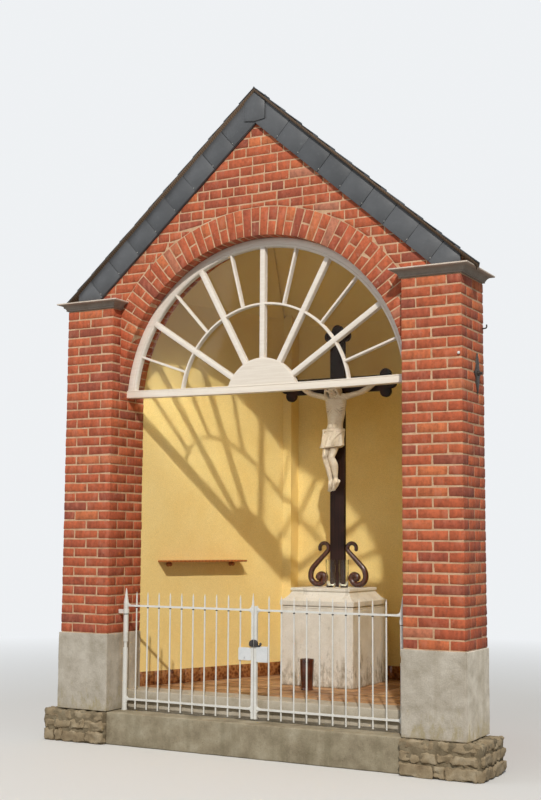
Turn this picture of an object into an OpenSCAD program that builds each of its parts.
// Wayside shrine: two brick piers carry an arched gable, canted walls and a slate roof behind,
// a pair of low iron gates in front, a cross on a stone pedestal inside.
// Front faces -Y, +Z is up, X = 0 is the middle; sizes are in millimetres.

/* [Brickwork] */
// length of one brick
brick_l = 220; // [190:1:250]
// height of one brick
brick_h = 65; // [50:1:75]
// mortar joint between bricks
joint = 10; // [6:1:15]
// courses of brick in a pier
pier_courses = 35; // [25:1:45]
// clear width between the two piers
clear_span = 2536; // [1800:2:3200]
// front of the gable behind the front of the piers
gable_set_back = 112; // [40:1:220]
// thickness of the canted side walls
side_wall_t = 220; // [110:1:350]
// plaster on the inside
plaster_t = 15; // [8:1:30]

/* [Base] */
// lowest ground below the foot of the plinths
footing_h = 250; // [100:5:500]
// how far the rubble footing stands out at the front
footing_out_front = 58; // [20:1:120]
// how far the rubble footing stands out at the sides
footing_out_side = 140; // [20:1:200]
// height of a rendered plinth
plinth_h = 600; // [300:5:900]
// plinth face beyond the brick face
plinth_lip = 16; // [5:1:40]
// front of the kerb ahead of the piers
kerb_out = 12; // [0:1:60]
// depth of the kerb's top, front to back
kerb_d = 190; // [100:1:250]
// drop behind the kerb
gutter_drop = 15; // [5:1:40]
// floor level above the foot of the plinths
floor_z = 150; // [60:5:300]
// front of the step behind the front of the piers
step_front = 215; // [180:1:350]
// thickness of the step's slab
step_slab_t = 85; // [40:1:120]
// slab of the step beyond its base
step_nosing = 35; // [0:1:60]
// thickness of the floor tiles
tile_t = 12; // [6:1:25]

/* [Plan] */
// slant of the side walls, from straight back
cant = 21.3; // [0:0.1:35]
// face of the niche piers behind the front of the piers
nib_y = 1893; // [1500:1:2600]
// depth of the niche in the back wall
niche_d = 147; // [50:1:300]
// half width of the niche
niche_half = 620; // [400:1:800]
// brickwork behind the niche
back_wall_t = 215; // [110:1:350]

/* [Arch] */
// springing of the arch below the capitals
spring_drop = 782; // [500:1:1000]
// depth of the brick ring
ring_t = 220; // [110:1:350]

/* [Capitals] */
// height of a capital
capital_h = 65; // [40:1:120]
// projection of a capital
capital_out = 75; // [30:1:120]
// thickness of its top edge
capital_edge = 12; // [5:1:25]

/* [Roof] */
// top of the roof above the capitals
gable_rise = 1615; // [1200:5:2200]
// front eaves beyond the outer face of a pier
eave_over = 123; // [60:1:200]
// top of the slates at the front eaves above the capitals
eave_up = 5; // [1:1:40]
// front edge of the slates behind the front of the piers
roof_front = 62; // [0:1:120]
// eaves beyond the back wall
back_eave = 175; // [50:5:400]
// slates and boards together
roof_t = 32; // [20:1:80]
// face of the slate-hung verge behind the front of the piers
verge_front = 80; // [20:1:110]
// depth of the verge, square to the slope
verge_d = 222; // [120:1:300]
// lower end of the verge inside the outer face of a pier
verge_in = 28; // [5:1:80]
// underside of the roof to the ceiling, square to the slope
ceiling_drop = 150; // [60:5:300]
// thickness of the plastered ceiling
ceiling_t = 20; // [10:1:40]
// radius of the lead rolls on the two hips
hip_roll_r = 22; // [10:1:40]
// upper end of the rolls behind the front edge of the slates
hip_roll_in = 70; // [60:5:200]

/* [Fanlight] */
// front of the fanlight behind the front of the piers
fan_y = 214; // [150:1:300]
// depth of its bars
fan_d = 48; // [30:1:80]
// width of the outer frame
fan_frame_w = 76; // [40:1:120]
// gap between the frame and the brick ring
fan_fit = 2; // [1:1:6]
// underside of the transom above the springing
transom_up = 60; // [20:1:150]
// height of the transom
transom_h = 62; // [40:1:120]
// transom beyond the bars, front and back
transom_lip = 9; // [0:1:30]
// outer radius of the half-round hub
hub_r = 315; // [200:1:450]
// width of the five thick spokes
spoke_w = 45; // [15:1:60]
// chamfer along the front edges of the frame and the thick spokes
paint_edge = 10; // [3:1:16]
// middle radius of the thin ring
glazing_ring_r = 746; // [500:1:1000]
// width of the thin bars
thin_w = 18; // [8:1:40]
// thickness of the glass
glass_t = 4; // [3:1:8]

/* [Gates] */
// middle plane of the gates behind the front of the piers
gate_y = 160; // [100:1:200]
// hinge axis inside the face of a pier
heel_in = 70; // [45:1:120]
// radius of a heel post
heel_r = 20; // [12:1:35]
// radius of a heel post at its neck
heel_neck_r = 14; // [8:1:30]
// radius of a pivot pin under a heel post
pivot_r = 12; // [6:1:16]
// bottom of the neck
neck_z = 487; // [400:1:600]
// height of the neck
neck_h = 48; // [20:1:100]
// foot of the gates above the kerb
gate_foot = 12; // [5:1:40]
// middle of the bottom rail
rail_low_z = 86; // [60:1:200]
// middle of the top rail
rail_top_z = 820; // [600:1:1000]
// height of a rail
rail_h = 15; // [10:1:30]
// thickness of a rail
rail_t = 16; // [10:1:30]
// bars in one leaf
bar_count = 10; // [6:1:10]
// bars from middle to middle
bar_pitch = 106.5; // [80:0.5:112]
// meeting line of the leaves to the first bar
bar_first = 124; // [110:1:150]
// radius of a bar
bar_r = 6; // [4:1:12]
// tips of the bars
bar_top_z = 930; // [800:1:1100]
// length of a pointed tip
tip_l = 28; // [15:1:80]
// meeting line of the two leaves to the left of the middle
meeting_off = 13; // [0:1:40]
// gap between the two leaves
meeting_gap = 6; // [5:1:15]
// width of a meeting stile
stile_w = 21; // [15:1:40]
// radius of the curved corners between rails and posts
gusset_r = 28; // [10:1:50]
// tips of the tall spears
spear_top_z = 945; // [850:1:1100]
// width of the left lock case
lock_left_w = 109; // [100:1:120]
// width of the right lock case
lock_right_w = 93; // [60:1:93]
// height of the left lock case
lock_left_h = 95; // [60:1:150]
// height of the right lock case
lock_right_h = 117; // [60:1:150]
// underside of the left lock case
lock_left_z = 443; // [300:1:600]
// underside of the right lock case
lock_right_z = 434; // [300:1:600]
// thickness of a lock case
lock_t = 30; // [15:1:40]
// height of a collar
collar_h = 32; // [20:1:60]
// underside of a collar
collar_z = 757; // [600:1:780]
// clearance between a heel post and what it turns in
collar_clear = 0.4; // [0.2:0.1:2]
// thickness of a collar
collar_t = 4; // [3:1:15]
// underside of the latch
latch_z = 546; // [450:1:700]
// height of the latch
latch_h = 54; // [35:1:70]

/* [Pedestal] */
// half width of the shaft
pedestal_half = 332; // [200:1:450]
// depth of the shaft
pedestal_d = 664; // [400:2:900]
// gap between the shaft and the wall of the niche
pedestal_gap = 194; // [0:1:300]
// top of the shaft
shaft_top_z = 808; // [600:1:1000]
// height of its cap
cap_h = 144; // [80:1:220]
// lip of the cap over the shaft
cap_lip = 9; // [5:1:40]
// height of the upright edge of the cap
cap_edge_h = 38; // [10:1:60]
// inset of the top slab from the shaft
cap_inset = 66; // [10:1:90]
// thickness of the top slab
cap_slab_t = 27; // [10:1:50]
// radius of the hollow in the slopes of the cap
cap_hollow_r = 160; // [110:1:400]

/* [Cross] */
// middle of the cross in front of the niche
cross_off = 450; // [200:5:600]
// width of post and arms
cross_w = 138; // [60:1:180]
// depth of post and arms
cross_d = 36; // [20:1:120]
// middle of the arms
arms_z = 2695; // [2200:5:2900]
// middle of a side trefoil from the post's axis
arm_reach = 455; // [350:1:700]
// middle of the top trefoil
head_reach_z = 3128; // [2900:1:3500]
// radius of a trefoil's lobe
lobe_r = 51; // [25:1:80]
// end lobe from the middle of its trefoil
lobe_off = 50; // [30:1:90]
// side lobes from the middle of their trefoil
lobe_side = 73; // [50:1:110]
// radius of the bar of the scroll brackets
scroll_r = 22; // [8:1:24]
// radius of their lower curl
low_curl_r = 70; // [40:1:100]
// radius of their upper curl
top_curl_r = 42; // [30:1:90]
// radius of the eye inside their lower curl
eye_curl_r = 31; // [26:1:46]
// radius of the bend between lower curl and stem
bend_r = 120; // [80:1:160]
// straight stem between their two curls
scroll_stem = 176; // [120:1:280]
// height of the figure from feet to head
figure_h = 930; // [600:5:1200]

/* [Small things] */
// length of the wall shelf
shelf_l = 868; // [300:1:1200]
// depth of the wall shelf
shelf_d = 120; // [60:1:250]
// thickness of the wall shelf
shelf_t = 16; // [8:1:30]
// top of the wall shelf
shelf_z = 1175; // [900:5:1400]
// height of the tiled skirting
skirting_h = 115; // [60:1:200]
// thickness of the tiled skirting
skirting_t = 10; // [5:1:20]
// radius of a glass vase
vase_r = 45; // [25:1:70]
// height of a glass vase
vase_h = 236; // [150:1:350]
// height of the floor vase
floor_vase_h = 245; // [150:1:350]
// height of a wall-tie plate
tie_h = 295; // [200:1:400]
// width of a wall-tie plate
tie_w = 125; // [80:1:200]
// middle of a wall-tie plate above the springing
tie_up = 101; // [20:1:300]
// middle of a wall-tie plate behind the front of the piers
tie_back = 300; // [150:1:350]
// small hook below the capital
hook_drop = 335; // [150:1:600]
// white knob on the right pier below the capital
knob_drop = 570; // [300:1:900]

/* [Hidden] */
$fn = 48;
pier_w = 2 * brick_l + joint;
pier_h = pier_courses * (brick_h + joint);
half = clear_span / 2;
outer = half + pier_w;
capital_z = plinth_h + pier_h;
capital_top_z = capital_z + capital_h;
spring_z = capital_z - spring_drop;
apex_z = capital_top_z + gable_rise;
eave_half = outer + eave_over;
eave_z = capital_top_z + eave_up;
verge_half = outer - verge_in;
ct = tan(cant);
cc = cos(cant);
niche_y = nib_y + niche_d;
back_y = niche_y + plaster_t + back_wall_t;
roof_back = back_y + back_eave;
roof_rise = apex_z - eave_z;
side_pitch = atan(roof_rise / (eave_half * cc));
back_pitch = atan(roof_rise / (roof_back - roof_front));
eave_back_half = eave_half - (roof_back - roof_front) * ct;
gable_pitch = atan(roof_rise / eave_half);
footing_front = -plinth_lip - footing_out_front;
mid_y = (roof_back - capital_out) / 2;
transom_z = spring_z + transom_up;
transom_top = transom_z + transom_h;
heel_x = half - heel_in;
leaf_left_w = heel_x - meeting_off - meeting_gap / 2;
leaf_right_w = heel_x + meeting_off - meeting_gap / 2;
cap_top_z = shaft_top_z + cap_h;
pedestal_back = niche_y - pedestal_gap;
pedestal_front = pedestal_back - pedestal_d;
cross_y = niche_y - cross_off;
tie_z = spring_z + tie_up;
hook_z = capital_z - hook_drop;
knob_z = capital_z - knob_drop;
big = 9000;

stone_c = [0.72, 0.69, 0.62];
brick_c = [0.62, 0.25, 0.16];
plaster_c = [0.87, 0.68, 0.33];
slate_c = [0.27, 0.29, 0.30];
paint_c = [0.90, 0.90, 0.88];
iron_c = [0.20, 0.17, 0.15];
wood_c = [0.16, 0.09, 0.06];
render_c = [0.60, 0.59, 0.56];

// moves a piece from drawing heights into the shared frame
module place() {
  translate([0, -mid_y, footing_h]) children();
}

module both_ways() {
  children();
  mirror([1, 0, 0]) children();
}

// x of the inside wall face at a depth, grown outwards square to the wall
function wall_x(y, grow) = half - (y - pier_w) * ct + grow / cc;

// plan between the canted walls, grown outwards by an amount
module room_plan(grow, y0, y1) {
  polygon([
    [wall_x(y0, grow), y0], [wall_x(y1, grow), y1],
    [-wall_x(y1, grow), y1], [-wall_x(y0, grow), y0]]);
}

// slab whose top lies on a side slope of the roof, lowered square to it
module side_slope(drop, thick) {
  translate([eave_half, roof_front, eave_z])
    rotate([0, 0, cant])
      rotate([0, side_pitch, 0])
        translate([-big, -big / 2, -drop - thick])
          cube([big + big / 2, big, thick]);
}

// slab whose top lies on the back slope of the roof, lowered square to it
module back_slope(drop, thick) {
  translate([0, roof_back, eave_z])
    rotate([-back_pitch, 0, 0])
      translate([-big / 2, -big, -drop - thick])
        cube([big, big + big / 2, thick]);
}

// everything above the roof's underside, for cutting wall tops
module above_roof(drop) {
  side_slope(-big, big + drop);
  mirror([1, 0, 0]) side_slope(-big, big + drop);
  back_slope(-big, big + drop);
}

// plan of the right slope between the hip and the eaves
module side_plan() {
  polygon([[0, roof_front], [eave_half, roof_front], [eave_back_half, roof_back]]);
}

module back_plan() {
  polygon([[0, roof_front], [eave_back_half, roof_back], [-eave_back_half, roof_back]]);
}

// extrudes an X-Z outline from y0 to y1
module wall_slab(y0, y1) {
  translate([0, y1, 0]) rotate([90, 0, 0]) linear_extrude(y1 - y0) children();
}

// one footing, for the right side, with its outer front corner cut off
module footing_one() {
  x0 = half - plinth_lip;
  x1 = outer + footing_out_side;
  color(stone_c) place() difference() {
    translate([0, 0, -footing_h]) linear_extrude(footing_h) polygon([
      [x0, footing_front], [x1 - 45, footing_front], [x1, footing_front + 60],
      [x1, pier_w], [x0, pier_w]]);
    // battered front
    translate([x0 - 10, footing_front, 0])
      rotate([-14, 0, 0]) translate([0, -100, -60]) cube([pier_w + 500, 100, 200]);
  }
}

module footing_right() {
  footing_one();
}

module footing_left() {
  mirror([1, 0, 0]) footing_one();
}

module kerb() {
  color(render_c) place() difference() {
    translate([-half + plinth_lip, -kerb_out, -footing_h])
      cube([clear_span - 2 * plinth_lip, kerb_d, footing_h]);
    // worn front edge
    translate([-half, -kerb_out, 0]) rotate([45, 0, 0]) cube([clear_span, 12, 12], center = false);
    // pockets for the two pivots
    for (s = [-1, 1])
      translate([s * heel_x, gate_y, -30]) cylinder(r = pivot_r, h = 40);
  }
}

// low strip behind the kerb and the riser under the slab
module step_base() {
  color(render_c) place() {
    translate([-half + plinth_lip, kerb_d - kerb_out, -footing_h])
      cube([clear_span - 2 * plinth_lip, pier_w - kerb_d + kerb_out, footing_h - gutter_drop]);
    translate([-half + plinth_lip, step_front + step_nosing, -gutter_drop - 1])
      cube([clear_span - 2 * plinth_lip, pier_w - step_front - step_nosing,
            gutter_drop + 1 + floor_z - step_slab_t]);
  }
}

module step_slab() {
  color(render_c) place()
    translate([-half + plinth_lip, step_front, floor_z - step_slab_t])
      cube([clear_span - 2 * plinth_lip, pier_w - step_front, step_slab_t]);
}

module floor_base() {
  color(render_c) place()
    translate([0, 0, -footing_h])
      linear_extrude(footing_h + floor_z - tile_t) difference() {
        room_plan(plaster_t, pier_w, niche_y + plaster_t);
        nib_plan(plaster_t);
      }
}

// the two niche piers beside the recess, as seen in plan
module nib_plan(grow) {
  both_ways()
    polygon([
      [niche_half + grow, nib_y + grow], [half, nib_y + grow],
      [half, niche_y + 60], [niche_half + grow, niche_y + 60]]);
}

module floor_tiles() {
  color([0.55, 0.33, 0.20]) place()
    translate([0, 0, floor_z - tile_t])
      linear_extrude(tile_t) difference() {
        room_plan(plaster_t, pier_w, niche_y + plaster_t);
        nib_plan(plaster_t);
      }
}

module plinth_right() {
  color(render_c) place()
    translate([half - plinth_lip, -plinth_lip, 0])
      cube([pier_w + 2 * plinth_lip, pier_w + plinth_lip, plinth_h]);
}

module plinth_left() {
  mirror([1, 0, 0]) plinth_right();
}

module pier_right() {
  color(brick_c) place()
    translate([half, 0, plinth_h]) cube([pier_w, pier_w, pier_h]);
}

module pier_left() {
  mirror([1, 0, 0]) pier_right();
}

// outline of one side of a capital, from the pier's face outwards
module capital_side(half_w) {
  edge_z = capital_h - capital_edge;
  union() {
    translate([-half_w, 0]) square([2 * half_w, capital_h]);
    both_ways() {
      translate([half_w - 1, edge_z]) square([capital_out + 1, capital_edge]);
      // hollow moulding between the brick and the top edge
      difference() {
        translate([half_w - 1, 14]) square([capital_out - 10, edge_z - 13.9]);
        translate([half_w + capital_out - 4, 2]) circle(r = edge_z - 4, $fn = 96);
      }
      translate([half_w - 1, 4]) square([14, 12]);
    }
  }
}

module capital_right() {
  mid_x = half + pier_w / 2;
  color([0.52, 0.50, 0.47]) place() difference() {
    intersection() {
      translate([mid_x, pier_w + 2 * capital_out, capital_z])
        rotate([90, 0, 0]) linear_extrude(pier_w + 4 * capital_out) capital_side(pier_w / 2);
      translate([mid_x - pier_w, pier_w / 2, capital_z])
        rotate([90, 0, 90]) linear_extrude(2 * pier_w) capital_side(pier_w / 2);
    }
    // room for the gable wall and the side wall
    translate([half - 200, gable_set_back, capital_z - 5]) cube([200, 900, capital_h + 10]);
    translate([0, 0, capital_z - 5]) linear_extrude(capital_h + 10)
      room_plan(plaster_t + side_wall_t, pier_w, pier_w + 300);
  }
}

module capital_left() {
  mirror([1, 0, 0]) capital_right();
}

module arch_ring() {
  color(brick_c) place() wall_slab(gable_set_back, pier_w)
    intersection() {
      translate([0, spring_z]) difference() {
        circle(r = half + ring_t, $fn = 180);
        circle(r = half, $fn = 180);
      }
      translate([-half, spring_z]) square([clear_span, 2000]);
    }
}

module gable_wall() {
  color(brick_c) place() difference() {
    wall_slab(gable_set_back, pier_w) difference() {
      union() {
        translate([-half, spring_z]) square([clear_span, apex_z - spring_z]);
        translate([-verge_half, capital_top_z]) square([2 * verge_half, apex_z - capital_top_z]);
      }
      translate([0, spring_z]) circle(r = half + ring_t, $fn = 180);
    }
    above_roof(roof_t);
  }
}

module side_wall_right() {
  color(brick_c) place() difference() {
    translate([0, 0, -footing_h]) linear_extrude(footing_h + apex_z)
      difference() {
        room_plan(plaster_t + side_wall_t, pier_w, back_y);
        room_plan(plaster_t, pier_w - 1, back_y + 1);
        translate([-big, -big / 2]) square([big, big]);
      }
    above_roof(roof_t);
  }
}

module side_wall_left() {
  mirror([1, 0, 0]) side_wall_right();
}

module back_wall() {
  color(brick_c) place() difference() {
    translate([0, 0, -footing_h]) linear_extrude(footing_h + apex_z) difference() {
      room_plan(plaster_t, nib_y + plaster_t, back_y);
      translate([-niche_half - plaster_t, 0]) square([2 * (niche_half + plaster_t), niche_y + plaster_t]);
    }
    above_roof(roof_t);
  }
}

// the part of the room below the ceiling, for trimming the plaster
module below_ceiling() {
  difference() {
    translate([-big / 2, 0, floor_z]) cube([big, big / 2, apex_z]);
    above_roof(roof_t + ceiling_drop + ceiling_t);
  }
}

module plaster_right() {
  color(plaster_c) place() intersection() {
    translate([0, 0, floor_z]) linear_extrude(apex_z - floor_z)
      difference() {
        room_plan(plaster_t, pier_w, nib_y);
        room_plan(0, pier_w - 1, nib_y + 1);
        translate([-big, -big / 2]) square([big, big]);
      }
    below_ceiling();
  }
}

module plaster_left() {
  mirror([1, 0, 0]) plaster_right();
}

module plaster_back() {
  color(plaster_c) place() intersection() {
    translate([0, 0, floor_z]) linear_extrude(apex_z - floor_z) difference() {
      room_plan(plaster_t, nib_y, niche_y + plaster_t);
      nib_plan(plaster_t);
      translate([-niche_half, 0]) square([2 * niche_half, niche_y]);
    }
    below_ceiling();
  }
}

module ceiling() {
  depth = roof_t + ceiling_drop;
  color(plaster_c) place() intersection() {
    union() {
      intersection() {
        side_slope(depth, ceiling_t);
        linear_extrude(apex_z) side_plan();
      }
      mirror([1, 0, 0]) intersection() {
        side_slope(depth, ceiling_t);
        linear_extrude(apex_z) side_plan();
      }
      intersection() {
        back_slope(depth, ceiling_t);
        linear_extrude(apex_z) back_plan();
      }
    }
    linear_extrude(apex_z) difference() {
      room_plan(plaster_t, pier_w, niche_y + plaster_t);
      nib_plan(plaster_t);
    }
  }
}

// tiles along the foot of the plaster
module skirting() {
  color([0.35, 0.20, 0.11]) place()
    translate([0, 0, floor_z]) linear_extrude(skirting_h) difference() {
      room_plan(0, pier_w, niche_y);
      difference() {
        room_plan(-skirting_t, pier_w - 1, niche_y - skirting_t);
        nib_plan(-skirting_t);
      }
      nib_plan(0);
    }
}

module roof_right() {
  color(slate_c) place() difference() {
    intersection() {
      side_slope(0, roof_t);
      linear_extrude(big) side_plan();
    }
    // the slates rest on the capital
    translate([half, -capital_out - 1, eave_z - 200])
      cube([pier_w + capital_out + 1, pier_w + 2 * capital_out + 2, capital_top_z + 0.3 - eave_z + 200]);
  }
}

module roof_left() {
  mirror([1, 0, 0]) roof_right();
}

// lead roll along the right hip, above the slates
module hip_roll() {
  run = roof_back - roof_front;
  len = norm([eave_back_half, run, roof_rise]);
  start = roof_front + hip_roll_in;
  difference() {
    translate([0, roof_front, apex_z])
      rotate([0, 90 + asin(roof_rise / len), atan2(run, eave_back_half)])
        translate([0, 0, -200]) cylinder(r = hip_roll_r, h = len + 400);
    intersection() {
      side_slope(0, big);
      back_slope(0, big);
    }
    translate([-big / 2, start - big, 0]) cube([big, big, big]);
    translate([-big / 2, roof_back, 0]) cube([big, big, big]);
  }
}

module roof_back() {
  color(slate_c) place() {
    intersection() {
      back_slope(0, roof_t);
      linear_extrude(big) back_plan();
    }
    both_ways() hip_roll();
  }
}

// half of the slate-hung verge, for the right side
module verge_right() {
  fall = tan(gable_pitch);
  top = roof_t / cos(gable_pitch);
  low = verge_d / cos(gable_pitch);
  color(slate_c) place() difference() {
    wall_slab(verge_front, gable_set_back) difference() {
      polygon([
        [0, apex_z - top], [verge_half, apex_z - top - verge_half * fall],
        [verge_half, capital_top_z], [verge_half - 60, capital_top_z], [0, capital_top_z]]);
      polygon([
        [-1, apex_z - low + fall], [verge_half, apex_z - low - verge_half * fall],
        [-1, apex_z - low - verge_half * fall]]);
    }
    above_roof(roof_t);
  }
}

module verge_left() {
  mirror([1, 0, 0]) verge_right();
}

module transom() {
  color(paint_c) place()
    intersection() {
      translate([-half, fan_y - transom_lip, transom_z])
        cube([clear_span, fan_d + 2 * transom_lip, transom_h]);
      // both ends meet the curve of the ring
      wall_slab(0, pier_w) translate([0, spring_z]) circle(r = half, $fn = 180);
    }
}

// everything above the transom, for trimming what stands on it
module above_transom() {
  wall_slab(0, big / 4) translate([-half, transom_top]) square([clear_span, 2000]);
}

module fan_frame() {
  inside_r = half - fan_frame_w;
  color(paint_c) place() intersection() {
    translate([0, fan_y + fan_d, spring_z]) rotate([90, 0, 0])
      rotate_extrude(angle = 180, $fn = 180)
        polygon([
          [inside_r, 0], [half - fan_fit, 0], [half - fan_fit, fan_d],
          [inside_r + paint_edge, fan_d], [inside_r, fan_d - paint_edge]]);
    above_transom();
  }
}

// straight bar of the fanlight along a radius, with its front edges cut off
module fan_ray(angle, from_r, to_r, w, edge) {
  translate([0, 0, spring_z]) rotate([0, 90 - angle, 0]) translate([0, 0, from_r])
    linear_extrude(to_r - from_r)
      polygon([
        [-w / 2, fan_y + fan_d], [w / 2, fan_y + fan_d], [w / 2, fan_y + edge],
        [w / 2 - edge, fan_y], [-w / 2 + edge, fan_y], [-w / 2, fan_y + edge]]);
}

// hub, five thick spokes, the thin ring and six thin bars beyond it
module fan_bars() {
  inside_r = half - fan_frame_w;
  color(paint_c) place() intersection() {
    union() {
      for (a = [30:30:150]) fan_ray(a, hub_r - 40, inside_r + 10, spoke_w, paint_edge);
      for (a = [15:30:165]) fan_ray(a, glazing_ring_r, inside_r + 10, thin_w, paint_edge / 2);
      wall_slab(fan_y, fan_y + fan_d) translate([0, spring_z]) {
        circle(r = hub_r, $fn = 96);
        difference() {
          circle(r = glazing_ring_r + thin_w / 2, $fn = 144);
          circle(r = glazing_ring_r - thin_w / 2, $fn = 144);
        }
      }
    }
    wall_slab(fan_y, fan_y + fan_d) translate([0, spring_z]) circle(r = inside_r, $fn = 180);
    above_transom();
  }
}

module fan_glass() {
  color([0.7, 0.78, 0.80, 0.35]) place() wall_slab(fan_y + fan_d, fan_y + fan_d + glass_t)
    intersection() {
      translate([0, spring_z]) circle(r = half - fan_frame_w / 2, $fn = 180);
      translate([-half, transom_top]) square([clear_span, 2000]);
    }
}

module pedestal() {
  color([0.80, 0.77, 0.70]) place()
    translate([-pedestal_half, pedestal_front, floor_z])
      cube([2 * pedestal_half, pedestal_d, shaft_top_z - floor_z]);
}

// outline of the cap, half width in x and height in y
module cap_side(half_w) {
  slope_h = cap_h - cap_slab_t;
  edge_x = half_w + cap_lip;
  neck_x = half_w - cap_inset;
  run = edge_x - neck_x;
  rise = slope_h - cap_edge_h;
  chord = norm([run, rise]);
  // the hollow's middle, out from the middle of the slope
  out = sqrt(pow(cap_hollow_r, 2) - pow(chord / 2, 2));
  difference() {
    polygon([
      [-edge_x, 0], [edge_x, 0], [edge_x, cap_edge_h], [neck_x, slope_h],
      [-neck_x, slope_h], [-edge_x, cap_edge_h]]);
    both_ways()
      translate([(edge_x + neck_x) / 2 + out * rise / chord, (cap_edge_h + slope_h) / 2 + out * run / chord])
        circle(r = cap_hollow_r, $fn = 144);
  }
  translate([-neck_x - 8, slope_h]) square([2 * (neck_x + 8), cap_slab_t]);
}

module pedestal_cap() {
  mid = (pedestal_front + pedestal_back) / 2;
  color([0.80, 0.77, 0.70]) place() translate([0, mid, shaft_top_z]) intersection() {
    rotate([90, 0, 0]) linear_extrude(2 * pedestal_d, center = true) cap_side(pedestal_half);
    rotate([90, 0, 90]) linear_extrude(4 * pedestal_half, center = true) cap_side(pedestal_d / 2);
  }
}

// three lobes that end an arm of the cross
module trefoil() {
  linear_extrude(cross_d, center = true) {
    translate([lobe_off, 0]) circle(r = lobe_r, $fn = 48);
    for (s = [-1, 1]) translate([0, s * lobe_side]) circle(r = lobe_r, $fn = 48);
    translate([0, -cross_w / 2]) square([lobe_off, cross_w]);
  }
}

module cross() {
  color(wood_c) place() translate([0, cross_y, 0]) {
    translate([-cross_w / 2, -cross_d / 2, cap_top_z])
      cube([cross_w, cross_d, head_reach_z - cap_top_z]);
    translate([-arm_reach, -cross_d / 2, arms_z - cross_w / 2])
      cube([2 * arm_reach, cross_d, cross_w]);
    translate([0, 0, head_reach_z]) rotate([90, 0, 0]) rotate(90) trefoil();
    both_ways() translate([arm_reach, 0, arms_z]) rotate([90, 0, 0]) trefoil();
  }
}

// tapered limb between two points, with a round end
module limb(a, b, ra, rb) {
  v = b - a;
  len = norm(v);
  translate(a)
    rotate([0, acos(v[2] / len), atan2(v[1], v[0])]) {
      cylinder(r1 = ra, r2 = rb, h = len);
      translate([0, 0, len]) sphere(r = rb * 1.03);
    }
}

// drawn 930 tall about the middle of the arms, then brought to the figure's height
module figure() {
  front = cross_y - cross_d / 2 + 1.2;
  color([0.88, 0.86, 0.80]) place() translate([0, front, arms_z]) scale(figure_h / 930) {
    // head with beard and hair
    translate([14, -106, -72]) sphere(r = 60);
    limb([12, -136, -105], [22, -128, -150], 34, 17);
    limb([50, -94, -58], [66, -82, -104], 28, 18);
    limb([-56, -96, -40], [-34, -84, -112], 36, 18);
    // trunk and cloth
    limb([26, -79, -106], [19, -71, -372], 77, 60);
    limb([12, -80, -336], [3, -86, -445], 56, 82);
    translate([-2, -96, -553]) cylinder(r1 = 94, r2 = 86, h = 152);
    limb([-78, -100, -446], [-98, -92, -545], 24, 24);
    // arms
    limb([66, -64, -118], [255, -42, -77], 32, 24);
    limb([252, -42, -78], [394, -22, 2], 23, 19);
    limb([-26, -64, -122], [-205, -42, -73], 33, 24);
    limb([-202, -42, -74], [-364, -22, 4], 23, 19);
    // legs and feet
    limb([26, -92, -470], [-8, -100, -631], 46, 37);
    limb([-8, -99, -627], [14, -50, -812], 36, 21);
    limb([-42, -94, -470], [-72, -106, -625], 44, 36);
    limb([-72, -105, -621], [-37, -56, -830], 34, 21);
    limb([15, -56, -804], [24, -84, -888], 18, 21);
    limb([-36, -62, -822], [-21, -90, -904], 18, 21);
  }
}

// round bar bent along part of a circle in the X-Z plane
module bent_bar(x, z, r, a0, sweep, bar) {
  translate([x, 0, z]) rotate([90, 0, 0]) rotate(a0)
    rotate_extrude(angle = sweep) translate([r, 0]) circle(r = bar, $fn = 32);
}

// one S-shaped bracket that leans on the post, for the right side
module scroll_one() {
  x0 = cross_w / 2 + scroll_r - 1.5;
  top_z = low_curl_r + scroll_r + 0.3;
  stem_x = x0 + top_curl_r * (1 - cos(45)) + scroll_stem * cos(45);
  low_x = stem_x + bend_r * (1 - cos(45)) - low_curl_r;
  inner_r = low_curl_r - eye_curl_r;
  // where the lower curl passes into its eye
  eye_turn = 205;
  translate([0, cross_y, cap_top_z]) {
    // the bar thins a little from piece to piece, and each piece reaches a little into the next
    bent_bar(low_x, top_z, low_curl_r, eye_turn, 360 - eye_turn, scroll_r);
    bent_bar(low_x + inner_r * cos(eye_turn), top_z + inner_r * sin(eye_turn), eye_curl_r,
             0, eye_turn + 1, scroll_r - 0.6);
    bent_bar(low_x + low_curl_r - bend_r, top_z, bend_r, -1, 46, scroll_r - 0.6);
    translate([stem_x, 0, top_z + bend_r * sin(45)]) rotate([0, -45, 0])
      translate([0, 0, -0.5]) cylinder(r = scroll_r - 1.2, h = scroll_stem + 1, $fn = 32);
    // upper curl, open to the side
    translate([0, 0, top_z + (bend_r + scroll_stem + top_curl_r) * sin(45)])
      bent_bar(x0 + top_curl_r, 0, top_curl_r, -16, 241, scroll_r - 1.8);
  }
}

module scrolls() {
  color(wood_c) place() both_ways() scroll_one();
}

module vase(r, h, wall) {
  difference() {
    cylinder(r1 = r * 0.86, r2 = r, h = h);
    translate([0, 0, 12]) cylinder(r1 = r * 0.86 - wall, r2 = r - wall, h = h);
  }
}

module glass_vases() {
  color([0.75, 0.80, 0.78, 0.35]) place() {
    translate([-8, cross_y - 122, cap_top_z]) vase(vase_r, vase_h, 4);
    translate([107, cross_y - 114, cap_top_z]) vase(vase_r, vase_h, 4);
  }
}

module floor_vase() {
  color([0.30, 0.12, 0.08]) place()
    translate([30, 960, floor_z]) vase(50, floor_vase_h, 6);
}

// board on the left wall with two round brackets
module shelf() {
  start = 175;
  color([0.72, 0.44, 0.20]) place()
    mirror([1, 0, 0]) translate([half, pier_w, 0]) rotate([0, 0, cant]) {
      translate([-shelf_d, start, shelf_z - shelf_t]) cube([shelf_d, shelf_l, shelf_t]);
      for (t = [100, shelf_l - 100])
        translate([0, start + t, shelf_z - shelf_t - 18]) rotate([0, -90, 0]) cylinder(r = 18, h = 45);
    }
}

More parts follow.
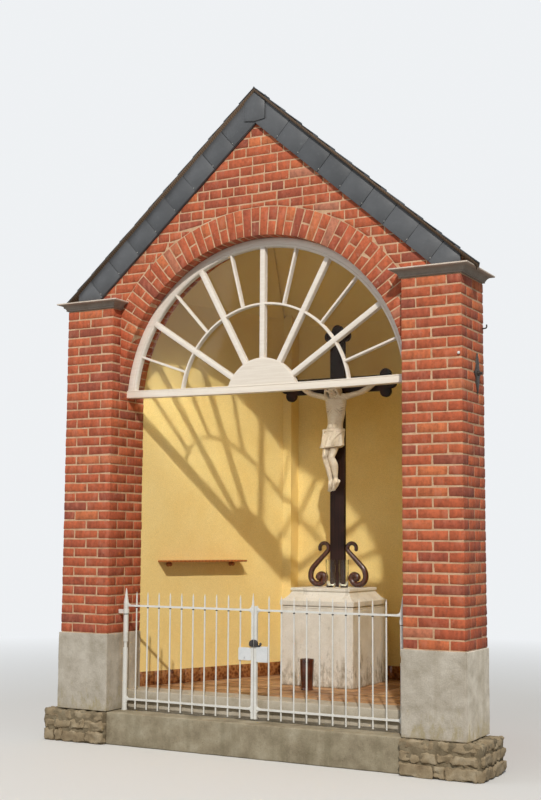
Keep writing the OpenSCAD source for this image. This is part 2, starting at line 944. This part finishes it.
// plates of the wall tie, a small hook and a white knob
module wall_irons() {
  hook_r = 7;
  hook_y = pier_w - 22;
  color(iron_c) place() {
    both_ways() translate([outer, tie_back, tie_z]) rotate([0, 90, 0]) {
      linear_extrude(14) polygon([[-tie_h / 2, 0], [0, tie_w / 2], [tie_h / 2, 0], [0, -tie_w / 2]]);
      cylinder(r = 20, h = 44);
    }
    translate([outer, hook_y, hook_z]) rotate([0, 90, 0]) cylinder(r = hook_r, h = 34);
    translate([outer + 34 - hook_r, hook_y, hook_z]) cylinder(r = hook_r, h = 26);
    translate([outer - 18, 0, knob_z]) rotate([90, 0, 0]) cylinder(r = 10, h = 18);
  }
}

// collars that hold the heel posts, and the pivots under them
module gate_fixings() {
  hole = heel_r + collar_clear;
  color(paint_c) place() both_ways() {
    difference() {
      union() {
        translate([heel_x, gate_y, collar_z]) cylinder(r = hole + collar_t, h = collar_h);
        translate([heel_x, gate_y - collar_t - 6, collar_z]) cube([heel_in, 2 * collar_t + 12, collar_h]);
      }
      translate([heel_x, gate_y, collar_z - 1]) cylinder(r = hole, h = collar_h + 2);
    }
    // pivot pin with the shoulder that the post stands on
    translate([heel_x, gate_y, -30]) cylinder(r = pivot_r, h = 90);
    translate([heel_x, gate_y, 0]) cylinder(r = heel_r + 3, h = gate_foot - collar_clear);
  }
}

// one gate leaf with its hinge axis at the origin, reaching +X
module leaf(leaf_w, with_spear) {
  difference() {
    union() {
      // heel post, with its neck and pointed top
      translate([0, 0, gate_foot]) cylinder(r = heel_r, h = neck_z - gate_foot);
      translate([0, 0, neck_z - 1]) cylinder(r = heel_neck_r, h = neck_h + 2);
      translate([0, 0, neck_z + neck_h]) cylinder(r = heel_r, h = rail_top_z + 25 - neck_z - neck_h);
      translate([0, 0, rail_top_z + 25]) cylinder(r1 = heel_r, r2 = 3, h = spear_top_z - rail_top_z - 13);
      // rails
      for (z = [rail_low_z, rail_top_z])
        translate([0, -rail_t / 2, z - rail_h / 2]) cube([leaf_w - stile_w / 2, rail_t, rail_h]);
      // meeting stile
      translate([leaf_w - stile_w, -stile_w / 2, gate_foot])
        cube([stile_w, stile_w, rail_top_z + 30 - gate_foot]);
      if (with_spear)
        translate([leaf_w - stile_w / 2, 0, rail_top_z + 30])
          cylinder(r1 = stile_w / 2 - 0.5, r2 = 2, h = spear_top_z - rail_top_z - 30);
      // bars with pointed tips
      for (i = [0:bar_count - 1])
        translate([leaf_w + meeting_gap / 2 - bar_first - i * bar_pitch, 0, gate_foot]) {
          cylinder(r = bar_r, h = bar_top_z - tip_l - gate_foot, $fn = 16);
          translate([0, 0, bar_top_z - tip_l - gate_foot]) cylinder(r1 = bar_r, r2 = 1, h = tip_l, $fn = 16);
        }
      // curved corners
      for (z = [rail_low_z, rail_top_z]) for (s = [-1, 1]) {
        // none under the top rail at the heel, where the collar is
        if (z == rail_low_z || s > 0) gusset(heel_r - 4, z, s, 1);
        gusset(leaf_w - stile_w + 1, z, s, -1);
      }
    }
    // bore for the pivot
    translate([0, 0, -1]) cylinder(r = pivot_r + collar_clear, h = 71);
  }
}

module gusset(x, z, up, side) {
  translate([x, rail_t / 4, z + up * (rail_h / 2 - 1)])
    scale([side, 1, up]) rotate([90, 0, 0]) linear_extrude(rail_t / 2) difference() {
      square(gusset_r);
      translate([gusset_r, gusset_r]) circle(r = gusset_r - 3, $fn = 48);
    }
}

module gate_leaf_left() {
  color(paint_c) place() translate([-heel_x, gate_y, 0]) leaf(leaf_left_w, true);
}

module gate_leaf_right() {
  color(paint_c) place() mirror([1, 0, 0]) translate([-heel_x, gate_y, 0]) leaf(leaf_right_w, false);
}

// dark latch in front of the stiles: half a dome on each leaf, a hook on the right one
module latch(side) {
  front = gate_y - stile_w / 2;
  edge = meeting_gap / 2;
  translate([-meeting_off, 0, latch_z]) wall_slab(front - 14, front) {
    if (side < 0) intersection() {
      translate([latch_h * 0.62 - 46, latch_h * 0.38]) circle(r = latch_h * 0.62);
      translate([-60, 0]) square([60 - edge, latch_h]);
    }
    if (side > 0) intersection() {
      union() {
        translate([0, latch_h * 0.42]) circle(r = latch_h * 0.58);
        translate([0, 2]) square([60, latch_h * 0.3]);
        translate([62, latch_h * 0.42]) circle(r = latch_h * 0.2);
        translate([54, 2]) square([16, latch_h * 0.4]);
      }
      translate([edge, 0]) square([80, latch_h]);
    }
  }
}

module lock_left() {
  first_x = -meeting_off - bar_first;
  case_x = -meeting_off - meeting_gap / 2 - stile_w - lock_left_w;
  color(paint_c) place() {
    difference() {
      translate([case_x, gate_y - lock_t / 2, lock_left_z]) cube([lock_left_w, lock_t, lock_left_h]);
      // the bar beside the stile runs through the case
      translate([first_x, gate_y, lock_left_z - 1]) cylinder(r = bar_r, h = lock_left_h + 2, $fn = 16);
      // keyhole
      translate([first_x + 43, gate_y, lock_left_z + 22]) rotate([90, 0, 0]) cylinder(r = 4, h = lock_t);
      translate([first_x + 40, gate_y - lock_t, lock_left_z + 8]) cube([6, lock_t, 14]);
    }
    latch(-1);
  }
}

module lock_right() {
  color(paint_c) place() {
    translate([-meeting_off + meeting_gap / 2 + stile_w, gate_y - lock_t / 2, lock_right_z])
      cube([lock_right_w, lock_t, lock_right_h]);
    latch(1);
  }
}

footing_left();
footing_right();
kerb();
step_base();
step_slab();
floor_base();
floor_tiles();
plinth_left();
plinth_right();
pier_left();
pier_right();
capital_left();
capital_right();
arch_ring();
gable_wall();
side_wall_left();
side_wall_right();
back_wall();
plaster_left();
plaster_right();
plaster_back();
ceiling();
skirting();
roof_left();
roof_right();
roof_back();
verge_left();
verge_right();
transom();
fan_frame();
fan_bars();
fan_glass();
pedestal();
pedestal_cap();
cross();
figure();
scrolls();
glass_vases();
floor_vase();
shelf();
wall_irons();
gate_fixings();
gate_leaf_left();
gate_leaf_right();
lock_left();
lock_right();
